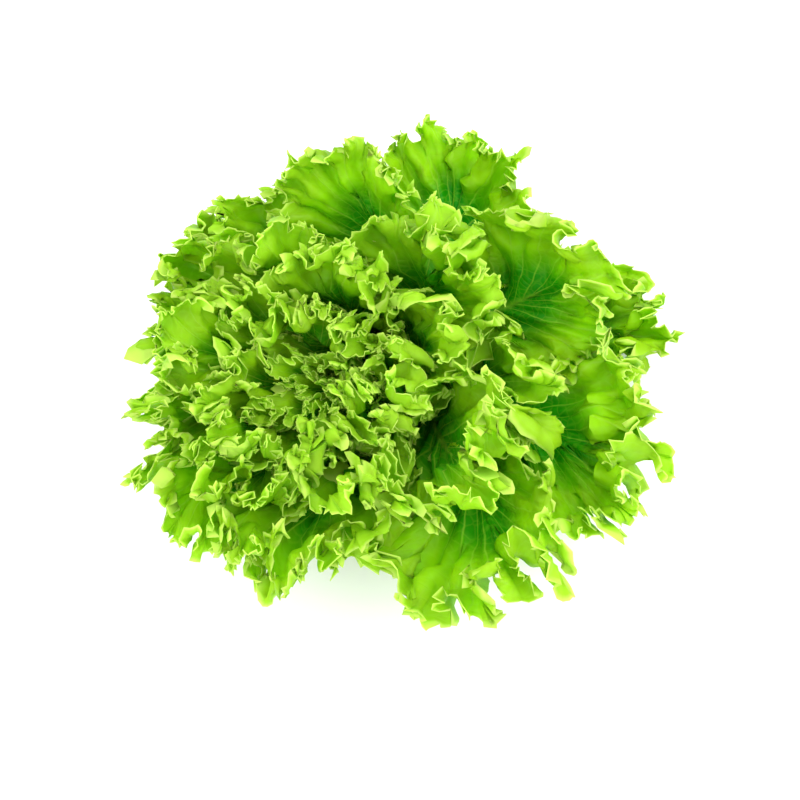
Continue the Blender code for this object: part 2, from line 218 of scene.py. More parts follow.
class LeafSizes(bpy.types.PropertyGroup):
    """Sizes of the fine leaf surface."""

    columns: bpy.props.IntProperty(
        name="Columns", description="Cells along a large leaf's midrib side", default=152, min=16)
    heart_columns: bpy.props.IntProperty(
        name="Heart columns", description="Cells along a heart leaf's midrib side", default=110, min=16)
    blade: bpy.props.FloatProperty(
        name="Blade", description="Thickness of the leaf blade",
        default=0.0005, precision=5, unit="LENGTH", subtype="DISTANCE")
    frill: bpy.props.FloatProperty(
        name="Frill", description="Depth of the fine frill along the margin",
        default=0.0033, precision=5, unit="LENGTH", subtype="DISTANCE")
    lobes: bpy.props.FloatProperty(
        name="Lobes", description="Depth of the small round lobes of the margin",
        default=0.0030, precision=5, unit="LENGTH", subtype="DISTANCE")
    teeth: bpy.props.FloatProperty(
        name="Teeth", description="Length of the pointed teeth of the margin",
        default=0.0024, precision=5, unit="LENGTH", subtype="DISTANCE")
    blister: bpy.props.FloatProperty(
        name="Blisters", description="Height of the small blisters between the veins",
        default=0.0020, precision=5, unit="LENGTH", subtype="DISTANCE")
    crumple: bpy.props.FloatProperty(
        name="Crumple", description="Height of the broad crumples of the blade",
        default=0.0050, precision=5, unit="LENGTH", subtype="DISTANCE")
    rib: bpy.props.FloatProperty(
        name="Midrib", description="How far the midrib stands out below the blade",
        default=0.0022, precision=5, unit="LENGTH", subtype="DISTANCE")


class LeafColours(bpy.types.PropertyGroup):
    """Colours of the leaves, linear."""

    # Painted shade: a dark saturated green near the midrib of the outer leaves, standing for the shade in
    # the hollows of the head
    painted_shade: bpy.props.FloatVectorProperty(
        name="Deep green", description="Blade near the midrib, outer leaves",
        default=(0.020, 0.40, 0.001), size=3, subtype="COLOR")
    body: bpy.props.FloatVectorProperty(
        name="Leaf green", description="Blade towards the margin",
        default=(0.38, 0.74, 0.003), size=3, subtype="COLOR")
    edge: bpy.props.FloatVectorProperty(
        name="Edge green", description="The ruffled margin",
        default=(0.40, 0.73, 0.006), size=3, subtype="COLOR")
    # The rim's pale line is partly the leaf's own paler margin and partly painted light on the lit lips of
    # the folds
    rim: bpy.props.FloatVectorProperty(
        name="Rim", description="The thin pale line of the margin",
        default=(0.72, 0.92, 0.17), size=3, subtype="COLOR")
    vein: bpy.props.FloatVectorProperty(
        name="Vein", description="Midrib and veins",
        default=(0.46, 0.77, 0.06), size=3, subtype="COLOR")
    stem: bpy.props.FloatVectorProperty(
        name="Stem", description="Cut stem",
        default=(0.66, 0.70, 0.42), size=3, subtype="COLOR")


class StageSizes(bpy.types.PropertyGroup):
    """The camera, the light and the floor."""

    elevation: bpy.props.FloatProperty(
        name="Elevation", description="Camera height above the horizon",
        default=math.radians(64), subtype="ANGLE")
    distance: bpy.props.FloatProperty(
        name="Distance", description="Camera distance from the target",
        default=1.306, unit="LENGTH", subtype="DISTANCE")
    lens: bpy.props.FloatProperty(
        name="Lens", description="Focal length in millimetres", default=100.0)
    target: bpy.props.FloatVectorProperty(
        name="Target", description="Point that the camera looks at",
        default=(-0.0165, -0.0496, 0.0456), size=3, subtype="TRANSLATION")
    floor: bpy.props.FloatVectorProperty(
        name="Floor", description="Floor colour", default=(0.92, 0.92, 0.92), size=3, subtype="COLOR")
    key: bpy.props.FloatProperty(
        name="Key light", description="Power of the main lamp in watts", default=4.0)
    fill: bpy.props.FloatProperty(
        name="Fill light", description="Power of the second lamp in watts", default=6.0)
    sky: bpy.props.FloatProperty(
        name="Sky", description="Strength of the even light all round", default=1.80)


def smooth(x):
    """A soft step from 0 to 1."""
    x = np.clip(x, 0.0, 1.0)
    return x * x * (3 - 2 * x)


def blend(pair, k):
    """The value at age k, from the outermost leaf's (0) to the innermost one's (1)."""
    return pair[0] + (pair[1] - pair[0]) * k


def make_waver(rng, low, high, count=4):
    """A smooth irregular signal: sines whose rates lie between low and high per metre."""
    rate = rng.uniform(low, high, count)
    shift = rng.uniform(0, 2 * math.pi, count)
    gain = rng.uniform(0.5, 1.0, count)
    return rate, shift, gain * 1.3 / math.sqrt((gain * gain).sum())


def waver(signal, x):
    """The signal's value at x."""
    rate, shift, gain = signal
    return (gain * np.sin(2 * math.pi * rate * np.asarray(x)[..., None] + shift)).sum(-1)


def add_margin(leaf):
    """The flat outline: arclength from the base corner up to the tip, with its x and y."""
    rise = np.linspace(0, leaf.widest, 60)
    crown = leaf.widest + (1 - leaf.widest) * np.sin(np.linspace(0, math.pi / 2, 60))[1:]
    eta = np.concatenate([rise, crown])
    low = leaf.base + (1 - leaf.base) * np.sin(0.5 * math.pi * np.clip(eta / leaf.widest, 0, 1)) ** 1.2
    high = np.sqrt(np.clip(1 - (np.clip(eta - leaf.widest, 0, 1) / (1 - leaf.widest)) ** 2, 0, 1))
    leaf.margin_x = np.where(eta < leaf.widest, low, high) * leaf.width / 2
    leaf.margin_y = eta * leaf.length
    steps = np.hypot(np.diff(leaf.margin_x), np.diff(leaf.margin_y))
    leaf.margin_s = np.concatenate([[0.0], np.cumsum(steps)])
    leaf.reach_s = leaf.margin_s[-1]


def add_signals(leaf, seed):
    """The leaf's own irregularity, drawn from its seed."""
    rng = np.random.default_rng(seed)
    leaf.long_jitter = make_waver(rng, 4, 12)
    leaf.long_depth = make_waver(rng, 6, 16)
    leaf.short_jitter = make_waver(rng, 10, 26)
    leaf.short_depth = make_waver(rng, 12, 30)
    leaf.lobe_signal = make_waver(rng, 16, 40)
    leaf.shift = rng.uniform(0, 2 * math.pi, 4)


def side_off(azimuth, side):
    """The angle from a side of the head, the shorter way round."""
    return (azimuth - side + math.pi) % (2 * math.pi) - math.pi


def side_gain(azimuth):
    """How much longer than plain the leaves on this side of the head are."""
    gain = 1 + LONG_GAIN * math.cos(azimuth - LONG_SIDE)
    for side, spread, extra in LOCAL_GAINS:
        gain += extra * math.exp(-(side_off(azimuth, side) / spread) ** 2)
    return gain


def big_leaf(index, rng):
    """Traits of one of the large leaves, from the outermost (0) inwards."""
    k = index / (LEAF_COUNT - 1)
    leaf = SimpleNamespace(name=f"leaf_{index + 1:02d}", fused=False, age=k)
    leaf.azimuth = FIRST_TURN + index * GOLDEN_TURN + rng.uniform(-SIDE_JITTER, SIDE_JITTER)
    leaf.fan = math.radians(blend((93, 23), k ** 0.95) + rng.uniform(-0.5, 0.5))
    gain = 1 + (side_gain(leaf.azimuth) - 1) * (1 - 0.7 * k)
    beside = math.exp(-(side_off(leaf.azimuth, HOLLOW_SIDE) / HOLLOW_SPREAD) ** 2)
    gain -= HOLLOW_DEPTH * smooth((k - 0.5) / 0.2) * beside
    plain = 0.130 + 0.022 * math.sin(math.pi * min(1, 1.1 * k)) - 0.034 * k ** 3
    leaf.length = plain * gain * rng.uniform(0.94, 1.06)
    leaf.width = blend((0.150, 0.084), k) * rng.uniform(0.94, 1.06)
    leaf.base = 0.15
    leaf.widest = 0.66
    leaf.origin = 0.60
    leaf.root_radius = blend(STEM_ROOTS, k)
    leaf.root_height = blend(STEM_HEIGHTS, k)
    leaf.loose = blend((0.008, 0.014), k)
    size = rng.uniform(0.85, 1.25)
    leaf.long_wave = blend(LONG_WAVES, k) * size
    leaf.long_swing = 0.34 * rng.uniform(0.85, 1.2)
    leaf.long_reach = 0.026
    leaf.short_wave = blend((0.0260, 0.0190), k) * size
    leaf.short_swing = 1.70 * rng.uniform(0.85, 1.15)
    leaf.short_reach = blend((0.0080, 0.0065), k) * size
    leaf.curl_out = blend(CURL, min(1, 1.2 * k))
    leaf.long_lean = 0.0020
    leaf.short_lean = 0.0034
    leaf.lobes = 0.0045
    leaf.columns = LEAF_COLUMNS
    add_margin(leaf)
    add_signals(leaf, LEAF_SEED + index)
    return leaf


def heart_leaf(index):
    """Traits of one of the small leaves of the heart, from its outermost (0) inwards."""
    k = index / (HEART_COUNT - 1)
    leaf = SimpleNamespace(name=f"heart_{index + 1:02d}", fused=True, age=1.0)
    leaf.azimuth = FIRST_TURN + (LEAF_COUNT + index) * GOLDEN_TURN
    leaf.fan = math.radians(blend((20, 5), k))
    leaf.length = blend((0.078, 0.050), k)
    leaf.width = blend((0.052, 0.030), k)
    leaf.base = 0.10
    leaf.widest = 0.66
    leaf.origin = 0.60
    leaf.root_radius = blend((0.0038, 0.0012), k)
    leaf.root_height = blend(HEART_HEIGHTS, k)
    leaf.loose = 0.006
    leaf.long_wave = blend((0.030, 0.022), k)
    leaf.long_swing = 0.5
    leaf.long_reach = 0.012
    leaf.short_wave = blend((0.0135, 0.0105), k)
    leaf.short_swing = 1.4
    leaf.short_reach = 0.0046
    leaf.curl_out = 0.35
    leaf.long_lean = 0.0018
    leaf.short_lean = 0.0014
    leaf.lobes = 0.002
    leaf.columns = HEART_COLUMNS
    add_margin(leaf)
    add_signals(leaf, HEART_SEED + index)
    return leaf


def side_ray(leaf, s):
    """The line from the midrib to the margin at s: its start, length and direction."""
    side = np.where(s < 0, -1.0, 1.0)
    along = leaf.reach_s - np.abs(s)
    rooted = along / leaf.reach_s
    end_x = np.interp(along, leaf.margin_s, leaf.margin_x) * side
    end_y = np.interp(along, leaf.margin_s, leaf.margin_y)
    start = leaf.origin * leaf.length * rooted ** 1.05
    length = np.hypot(end_x, end_y - start)
    return rooted, start, length, end_x / length, (end_y - start) / length


def short_phase(leaf, s):
    """Phase of the short waves along the margin."""
    return 2 * math.pi * s / leaf.short_wave + leaf.shift[1] + 1.3 * waver(leaf.short_jitter, s)


def blade_point(leaf, s, v, ease, steps=18):
    """Points of the ruffled blade in the leaf's own layer: across, along, and off it.

    A leaf's level evens how far its folds draw the margin in, from not at all (0) to fully (1).
    """
    rooted, start, length, ex, ey = side_ray(leaf, s)
    free = smooth((rooted - FOLD_START) / FOLD_GROWTH)
    length = length + leaf.lobes * waver(leaf.lobe_signal, s) * free
    share = v[:, None] * (np.arange(steps) + 0.5) / steps
    inside = (1 - share) * length[:, None]
    long_phase = 2 * math.pi * s / leaf.long_wave + leaf.shift[0] + 1.6 * waver(leaf.long_jitter, s)
    short = short_phase(leaf, s)
    long_depth = np.clip(1 + 0.40 * waver(leaf.long_depth, s), 0.2, 2) * free * ease
    short_depth = np.clip(1 + 0.45 * waver(leaf.short_depth, s), 0.1, 2) * free * ease
    curve = np.sin(2 * math.pi * s / CREST_WAVE + leaf.shift[2])[:, None]
    turn = CREST_TURN * np.exp(-inside / CREST_REACH) * curve
    long_fade = np.exp(-inside / leaf.long_reach)
    short_fade = np.exp(-inside / leaf.short_reach)
    angle = (leaf.long_swing * long_depth)[:, None] * long_fade * np.sin(long_phase[:, None] + turn)
    angle += (leaf.short_swing * short_depth)[:, None] * short_fade * np.sin(short[:, None] + turn)
    curl = leaf.curl_out * long_fade * (free * ease)[:, None]
    angle += curl
    off = np.sin(angle).mean(1) * v * length
    out = np.cos(angle).mean(1) * v * length
    if leaf.level > 0:
        calm = 0.5 * (leaf.long_swing * long_depth)[:, None] ** 2 * long_fade ** 2
        calm += 0.5 * (leaf.short_swing * short_depth)[:, None] ** 2 * short_fade ** 2
        calm += curl ** 2
        out += leaf.level * (np.cos(np.sqrt(calm)).mean(1) * v * length - out)
    edge = (1 - v) * length
    slide = -leaf.long_lean * long_depth * np.sin(2 * long_phase) * np.exp(-edge / leaf.long_reach)
    slide -= leaf.short_lean * short_depth * np.sin(2 * short) * np.exp(-edge / leaf.short_reach)
    slide *= v
    return out * ex + slide * ey, start + out * ey - slide * ex, off


def sway(points):
    """The slow irregular sway and the lean of the whole head, nothing at the cut face."""
    rng = np.random.default_rng(SWAY_SEED)
    fade = smooth((np.linalg.norm(points, axis=1) - SWAY_START) / SWAY_FADE)
    moved = points.copy()
    for _ in range(SWAY_WAVES):
        rate = rng.normal(size=3)
        rate *= rng.uniform(*SWAY_RATES) / np.linalg.norm(rate)
        push = rng.normal(size=3)
        push *= SWAY_SIZE / np.linalg.norm(push)
        wave = fade * np.sin(2 * math.pi * (points @ rate) + rng.uniform(0, 2 * math.pi))
        moved += push * wave[:, None]
    leaning = smooth(moved[:, 2] / LEAN_HEIGHT)
    moved[:, 0] += LEAN[0] * leaning
    moved[:, 1] += LEAN[1] * leaning
    return moved


def standing_point(leaf, across, along, off):
    """Points of the leaf in the upright head, along its bent rise."""
    fan = leaf.fan + off / np.maximum(LAYER_SHARE * along, LEAST_LAYER)
    share = fan / FULL_FAN
    start = FULL_FAN * RISE_SHARE * share
    bend = FULL_FAN * (DROOP_SHARE * np.sign(share) * np.abs(share) ** 3 - UNBEND_SHARE * share)
    bend /= BEND_LENGTH
    bend = np.where(np.abs(bend) < LEAST_BEND, LEAST_BEND, bend)
    radius = leaf.root_radius + (np.cos(start) - np.cos(start + bend * along)) / bend
    height = leaf.root_height + (np.sin(start + bend * along) - np.sin(start)) / bend
    turn = leaf.azimuth + across / (np.maximum(radius, LEAST_RADIUS) + leaf.loose)
    return np.stack([radius * np.cos(turn), radius * np.sin(turn), height], -1)


def head_point(leaf, across, along, off):
    """Points of the leaf in the head, swayed and leaning."""
    return sway(standing_point(leaf, across, along, off))


def above_floor(points):
    """The points with those near or below the surface pressed softly onto it."""
    pressed = points.copy()
    pressed[:, 2] = FLOOR_SOFTNESS * np.logaddexp(0, points[:, 2] / FLOOR_SOFTNESS)
    return pressed


def settle(leaf):
    """Turn an outer leaf down until its lowest ruffles just press on the surface."""
    low, high = SETTLE_FANS
    for _ in range(SETTLE_ROUNDS):
        leaf.fan = (low + high) / 2
        points = head_point(leaf, *blade_point(leaf, leaf.s, leaf.v, leaf.ease))
        if points[:, 2].min() < -FLOOR_PRESS:
            high = leaf.fan
        else:
            low = leaf.fan


def row_limit(row, rows):
    """Just below the given row of a chart, whose rows run evenly from -1 to 1."""
    return -1 + 2 * row / (len(rows) - 1) - ROW_ROOM


def add_chart(leaf):
    """The leaf's coarse cells in its chart, finer at the margin, split into triangles."""
    bm = bmesh.new()
    bmesh.ops.create_grid(bm, x_segments=leaf.columns, y_segments=len(COARSE_ROWS) - 1, size=1)
    outer = row_limit(2, COARSE_ROWS)
    split = []
    for edge in bm.edges:
        a, b = edge.verts
        level = abs(a.co.y - b.co.y) < SAME_ROW
        if level and a.co.y > outer:
            split.append(edge)
    bmesh.ops.subdivide_edges(bm, edges=split, cuts=1, use_grid_fill=True, use_single_edge=True)
    bmesh.ops.triangulate(bm, faces=bm.faces[:])
    bm.verts.ensure_lookup_table()
    leaf.u = np.array([vert.co.x for vert in bm.verts])
    rows = np.linspace(-1, 1, len(COARSE_ROWS))
    leaf.v = np.interp([vert.co.y for vert in bm.verts], rows, COARSE_ROWS)
    leaf.s = leaf.u * leaf.reach_s
    slide_room = 0.4 * leaf.reach_s / leaf.columns
    off_crest = (short_phase(leaf, leaf.s) % math.pi) - math.pi / 2
    nudge = np.clip(-off_crest * leaf.short_wave / (2 * math.pi), -slide_room, slide_room)
    inner = 1 - smooth((np.abs(leaf.u) - 0.9) / 0.1)
    leaf.s = leaf.s + nudge * inner * smooth((leaf.v - 0.6) / 0.3)
    leaf.faces = np.array([[vert.index for vert in face.verts] for face in bm.faces])
    leaf.rim = np.array([[vert.index for vert in edge.verts] for edge in bm.edges if edge.is_boundary])
    leaf.ease = np.ones(len(leaf.u))
    leaf.level = 0.0
    bm.free()


def place(leaf):
    """The leaf's coarse points in the head, and the guard tree used to keep leaves apart."""
    across, leaf.along, off = blade_point(leaf, leaf.s, leaf.v, leaf.ease)
    leaf.points = above_floor(head_point(leaf, across, leaf.along, off))
    corners = leaf.points[leaf.faces]
    normal = np.cross(corners[:, 1] - corners[:, 0], corners[:, 2] - corners[:, 0])
    lift = np.zeros_like(leaf.points)
    for column in range(3):
        np.add.at(lift, leaf.faces[:, column], normal)
    lift *= CLEAR_BLADE / 2 / (np.linalg.norm(lift, axis=1, keepdims=True) + 1e-12)
    count = len(leaf.points)
    skin = np.concatenate([leaf.points + lift, leaf.points - lift])
    rim = np.concatenate([
        np.stack([leaf.rim[:, 0], leaf.rim[:, 1], leaf.rim[:, 1] + count], -1),
        np.stack([leaf.rim[:, 0], leaf.rim[:, 1] + count, leaf.rim[:, 0] + count], -1),
    ])
    faces = np.concatenate([leaf.faces, leaf.faces + count, rim])
    leaf.owner = np.concatenate([leaf.faces, leaf.faces, leaf.rim[:, [0, 1, 1]], leaf.rim[:, [0, 1, 1]]])
    leaf.tree = BVHTree.FromPolygons(skin.tolist(), faces.tolist(), all_triangles=True)


def crossings(one, other):
    """Coarse points of each leaf that belong to cells where the two come too close."""
    pairs = one.tree.overlap(other.tree)
    if not pairs:
        return None
    pairs = np.array(pairs)
    if one.fused and other.fused:
        free = one.along[one.owner[pairs[:, 0]]].max(1) > ROOTED_LENGTH
        free &= other.along[other.owner[pairs[:, 1]]].max(1) > ROOTED_LENGTH
        pairs = pairs[free]
        if len(pairs) == 0:
            return None
    return np.unique(one.owner[pairs[:, 0]]), np.unique(other.owner[pairs[:, 1]])


def ease_leaves(leaves):
    """Lower the ruffles where neighbouring leaves would touch, until all are clear."""
    for leaf in leaves:
        place(leaf)
    for _ in range(EASE_ROUNDS):
        hits = {}
        for i, one in enumerate(leaves):
            for j in range(i + 1, len(leaves)):
                found = crossings(one, leaves[j])
                if found is not None:
                    hits.setdefault(i, []).append(found[0])
                    hits.setdefault(j, []).append(found[1])
        for index, found in hits.items():
            leaf = leaves[index]
            leaf.ease[np.unique(np.concatenate(found))] *= EASE_STEP
            place(leaf)
        if not hits:
            break


@functools.lru_cache(maxsize=1)
def laid_out_head():
    """All the leaves with their traits, settled and eased as in the frame."""
    rng = np.random.default_rng(LAYOUT_SEED)
    leaves = [big_leaf(index, rng) for index in range(LEAF_COUNT)]
    leaves += [heart_leaf(index) for index in range(HEART_COUNT)]
    for leaf in leaves:
        add_chart(leaf)
    for leaf in leaves[:FLOOR_LEAVES]:
        settle(leaf)
    ease_leaves(leaves)
    return leaves


def ease_at(leaf, u, v):
    """The ease of the coarse layout, read smoothly anywhere on the leaf."""
    rows = []
    for row in COARSE_ROWS:
        on_row = np.abs(leaf.v - row) < SAME_ROW
        order = np.argsort(leaf.u[on_row])
        rows.append(np.interp(u, leaf.u[on_row][order], leaf.ease[on_row][order]))
    value = rows[0]
    for low, high, next_row in zip(COARSE_ROWS, COARSE_ROWS[1:], rows[1:]):
        value = value + (next_row - value) * smooth((v - low) / (high - low))
    return value


def add_fine_signals(leaf, seed, pace):
    """Irregularity of the frills, lobes, teeth and blisters; pace is how close they stand."""
    rng = np.random.default_rng(seed)
    leaf.frill_jitter = make_waver(rng, 14 * pace, 40 * pace)
    leaf.frill_depth = make_waver(rng, 14 * pace, 40 * pace)
    leaf.notch_jitter = make_waver(rng, 8 * pace, 20 * pace)
    leaf.tooth_jitter = make_waver(rng, 20 * pace, 55 * pace)
    leaf.tooth_depth = make_waver(rng, 20 * pace, 60 * pace)
    leaf.frill_shift = rng.uniform(0, 2 * math.pi)
    leaf.blister_ways = rng.uniform(-1, 1, (10, 2))
    leaf.blister_shift = rng.uniform(0, 2 * math.pi, 10)
    leaf.crumple_ways = rng.uniform(-1, 1, (8, 2))
    leaf.crumple_shift = rng.uniform(0, 2 * math.pi, 8)


def dress_big_leaf(leaf, index, sizes):
    """Fine traits of a large leaf: closer waves, a lifted margin, frills, lobes and teeth."""
    k = leaf.age
    size = leaf.long_wave / blend(LONG_WAVES, k)
    size *= 1 + BROAD_GAIN * math.cos(leaf.azimuth - BROAD_SIDE)
    leaf.long_wave *= 0.64
    leaf.long_swing *= 1.50
    leaf.long_reach = 0.022
    closer = blend((1.0, 0.84), k)
    leaf.short_wave = blend((0.0190, 0.0115), k) * size * closer
    leaf.short_swing *= blend((1.10, 1.20), k)
    leaf.short_reach = blend((0.0086, 0.0056), k) * size * blend((1.0, 0.92), k)
    leaf.long_lean = 0.09 * leaf.long_wave
    leaf.short_lean = 0.17 * leaf.short_wave
    leaf.level = 0.90
    leaf.curl_out = blend(FINE_CURL, min(1, 1.2 * k))
    add_fine_signals(leaf, FINE_SEED + index, blend((1.0, 1.5), k))
    leaf.frill_wave = blend((0.0098, 0.0058), k)
    leaf.frill_reach = blend((0.0056, 0.0036), k)
    leaf.frill_size = sizes.frill * blend((1.0, 0.65), k) * blend((1.0, 1.15), k)
    leaf.notch_pitch = blend((0.0180, 0.0105), k)
    leaf.notch_size = sizes.lobes * blend((1.0, 0.57), k)
    leaf.tooth_pitch = blend((0.0066, 0.0042), k)
    leaf.tooth_size = sizes.teeth * blend((1.0, 0.60), k)
    leaf.relief = 1.0


def dress_heart_leaf(leaf, index, sizes):
    """Fine traits of a heart leaf."""
    leaf.short_wave *= 0.75
    leaf.short_swing *= 1.25
    leaf.level = 0.85
    add_fine_signals(leaf, FINE_SEED + LEAF_COUNT + index, 2.0)
    leaf.frill_wave = 0.0050
    leaf.frill_reach = 0.0025
    leaf.frill_size = sizes.frill * 0.56
    leaf.notch_pitch = 0.0085
    leaf.notch_size = sizes.lobes * 0.40
    leaf.tooth_pitch = 0.0032
    leaf.tooth_size = sizes.teeth * 0.55
    leaf.relief = 0.5


def measure_margin(leaf):
    """Length along the ruffled margin, by which its frills, teeth and columns are spaced."""
    u = np.linspace(-CHART_END, CHART_END, MARGIN_SAMPLES)
    v = np.ones_like(u)
    leaf.margin_at = u * leaf.reach_s
    points = np.stack(blade_point(leaf, leaf.margin_at, v, ease_at(leaf, u, v)), -1)
    steps = np.linalg.norm(np.diff(points, axis=0), axis=1)
    leaf.margin_run = np.concatenate([[0.0], np.cumsum(steps)])


def bumps(points, ways, shift, size):
    """A sum of plane waves over the flat leaf, one for each way."""
    total = np.zeros(len(points))
    for way, phase in zip(ways, shift):
        total += np.sin(2 * math.pi * (points @ way) / size + phase)
    return total / 3.0


def blade_frame(leaf, s, v, ease):
    """Points of the ruffled blade, and its directions along the margin, outwards and up."""
    small, inward = 0.0004, 0.01
    end = CHART_END * leaf.reach_s
    point = np.stack(blade_point(leaf, s, v, ease), -1)
    after = np.stack(blade_point(leaf, np.minimum(s + small, end), v, ease), -1)
    before = np.stack(blade_point(leaf, np.maximum(s - small, -end), v, ease), -1)
    within = np.stack(blade_point(leaf, s, v - inward, ease), -1)
    along = after - before
    along /= np.linalg.norm(along, axis=1, keepdims=True) + 1e-12
    up = np.cross(along, point - within)
    up /= np.linalg.norm(up, axis=1, keepdims=True) + 1e-12
    return point, along, np.cross(up, along), up


def frill_at(leaf, run, edge, free):
    """The fine frill: how far it stands off the blade, slides along it and reaches out."""
    phase = 2 * math.pi * run / leaf.frill_wave + leaf.frill_shift + 2.2 * waver(leaf.frill_jitter, run)
    swing = np.clip(1 + 0.7 * waver(leaf.frill_depth, run), 0.1, 2.2) * free
    swing *= leaf.frill_size * np.exp(-edge / leaf.frill_reach)
    rise = swing * np.sin(phase)
    slide = -0.4 * swing * np.sin(2 * phase)
    reach = -0.45 * swing * np.sin(phase) ** 2
    return rise, slide, reach


def lobes_at(leaf, run, edge, free):
    """How far the round lobes reach out, with notches between them."""
    lobe = np.abs(np.sin(math.pi * run / leaf.notch_pitch + 1.5 * waver(leaf.notch_jitter, run)))
    return leaf.notch_size * free * (lobe ** 0.6 - 0.7) * np.exp(-edge / (1.6 * leaf.notch_size))


def teeth_at(leaf, run, edge, free):
    """The pointed teeth: how far they stand off the blade and reach out."""
    turn = math.pi * run / leaf.tooth_pitch + 1.2 * waver(leaf.tooth_jitter, run)
    tooth = 1 - np.abs(np.sin(turn))
    size = np.clip(1 + 0.5 * waver(leaf.tooth_depth, run), 0.2, 1.8) * leaf.tooth_size * free
    size *= np.exp(-edge / (0.9 * leaf.tooth_size))
    return 0.5 * size * tooth * np.sin(turn * 0.5), size * (tooth - 0.4)


def relief_at(leaf, sizes, flat, v, start, length):
    """How far blisters, crumples and the midrib stand off the blade."""
    relief = sizes.blister * leaf.relief * bumps(flat, leaf.blister_ways, leaf.blister_shift, BLISTER_WAVE)
    relief += sizes.crumple * leaf.relief * bumps(flat, leaf.crumple_ways, leaf.crumple_shift, CRUMPLE_WAVE)
    root_share = start / (leaf.origin * leaf.length)
    rib_width = RIB_WIDTHS[0] + RIB_WIDTHS[1] * (1 - smooth(root_share))
    rib = np.exp(-((v * length) / rib_width) ** 2) * (1 - 0.7 * root_share)
    return relief * smooth(v * 3) + sizes.rib * leaf.relief * rib


def fine_point(leaf, sizes, s, v, ease):
    """Points of the finished blade: the ruffled one with frills, lobes, teeth and blisters."""
    point, along, out, up = blade_frame(leaf, s, v, ease)
    rooted, start, length, _, _ = side_ray(leaf, s)
    free = smooth((rooted - FINE_START) / FINE_GROWTH)
    edge = (1 - v) * length
    run = np.interp(s, leaf.margin_at, leaf.margin_run)
    rise, slide, reach = frill_at(leaf, run, edge, free)
    reach += lobes_at(leaf, run, edge, free)
    tooth_rise, tooth_reach = teeth_at(leaf, run, edge, free)
    reach += tooth_reach
    rise += tooth_rise
    point = point + along * slide[:, None] + out * reach[:, None]
    rise += relief_at(leaf, sizes, point[:, :2], v, start, length)
    return point + up * rise[:, None]


def deselect_all():
    """Nothing selected, in object mode."""
    if bpy.context.mode != "OBJECT":
        bpy.ops.object.mode_set(mode="OBJECT")
    bpy.ops.object.select_all(action="DESELECT")


def leaf_grid(name, columns):
    """A flat grid whose far side is the margin, with its columns doubled twice on the way out."""
    deselect_all()
    bpy.ops.mesh.primitive_grid_add(x_subdivisions=columns, y_subdivisions=len(FINE_ROWS) - 1, size=2)
    grid = bpy.context.object
    grid.name = name
    for row in (MIDDLE_ROW, MARGIN_ROW):
        limit = row_limit(row, FINE_ROWS)
        bpy.ops.object.mode_set(mode="EDIT")
        bpy.ops.mesh.select_mode(type="EDGE")
        bpy.ops.mesh.select_all(action="DESELECT")
        bpy.ops.object.mode_set(mode="OBJECT")
        points = vertex_array(grid.data)
        pairs = np.empty(len(grid.data.edges) * 2, dtype=np.int32)
        grid.data.edges.foreach_get("vertices", pairs)
        ends = points[pairs.reshape(-1, 2)][:, :, 1]
        level = (np.abs(ends[:, 0] - ends[:, 1]) < SAME_ROW) & (ends[:, 0] > limit)
        grid.data.edges.foreach_set("select", level)
        bpy.ops.object.mode_set(mode="EDIT")
        bpy.ops.mesh.subdivide(number_cuts=1, ngon=False)
        bpy.ops.object.mode_set(mode="OBJECT")
    return grid


def vertex_array(mesh):
    """The mesh's points as an array."""
    flat = np.empty(len(mesh.vertices) * 3, dtype=np.float64)
    mesh.vertices.foreach_get("co", flat)
    return flat.reshape(-1, 3)


def set_map(mesh, name, values):
    """A UV map with one value for each vertex."""
    layer = mesh.uv_layers.get(name) or mesh.uv_layers.new(name=name)
    corners = np.empty(len(mesh.loops), dtype=np.int32)
    mesh.loops.foreach_get("vertex_index", corners)
    layer.data.foreach_set("uv", values[corners].ravel())


def leaf_points(leaf, sizes, s, v, ease):
    """The dressed leaf's points in the head, the blade shortened where it would stand too tall.

    The head's sway and lean are read at calmer points, so that they carry a fold as a whole.
    """
    for _ in range(SHORTEN_ROUNDS):
        flat = fine_point(leaf, sizes, s, v, ease)
        upright = standing_point(leaf, flat[:, 0], flat[:, 1], flat[:, 2])
        calm = standing_point(leaf, flat[:, 0], flat[:, 1], flat[:, 2] * FOLD_LEAN)
        points = above_floor(upright + sway(calm) - calm)
        points[:, 2] += sizes.blade / 2
        if points[:, 2].max() < CAD_BOX[1][2] + OVER_TOP:
            break
        leaf.length *= SHORTEN
        leaf.margin_x = leaf.margin_x * SHORTEN
        leaf.margin_y = leaf.margin_y * SHORTEN
    return points


def shape_blade(mesh, leaf, sizes):
    """Shape a flat grid as the leaf, with its chart and its flat plan as UV maps."""
    chart = vertex_array(mesh)
    u = chart[:, 0]
    v = np.interp(chart[:, 1], np.linspace(-1, 1, len(FINE_ROWS)), FINE_ROWS)
    measure_margin(leaf)
    even = np.interp((u + 1) / 2 * leaf.margin_run[-1], leaf.margin_run, leaf.margin_at)
    s = FLAT_SHARE * np.clip(u, -CHART_END, CHART_END) * leaf.reach_s + RUN_SHARE * even
    u = s / leaf.reach_s
    points = leaf_points(leaf, sizes, s, v, ease_at(leaf, u, v))
    mesh.vertices.foreach_set("co", points.ravel())
    mesh.update()
    _, start, length, ex, ey = side_ray(leaf, s)
    plan = np.stack([v * length * ex, start + v * length * ey], -1)
    set_map(mesh, "UVMap", np.stack([u / 2 + 0.5, v], -1))
    set_map(mesh, "Plan", plan / PLAN_SIZE + 0.5)


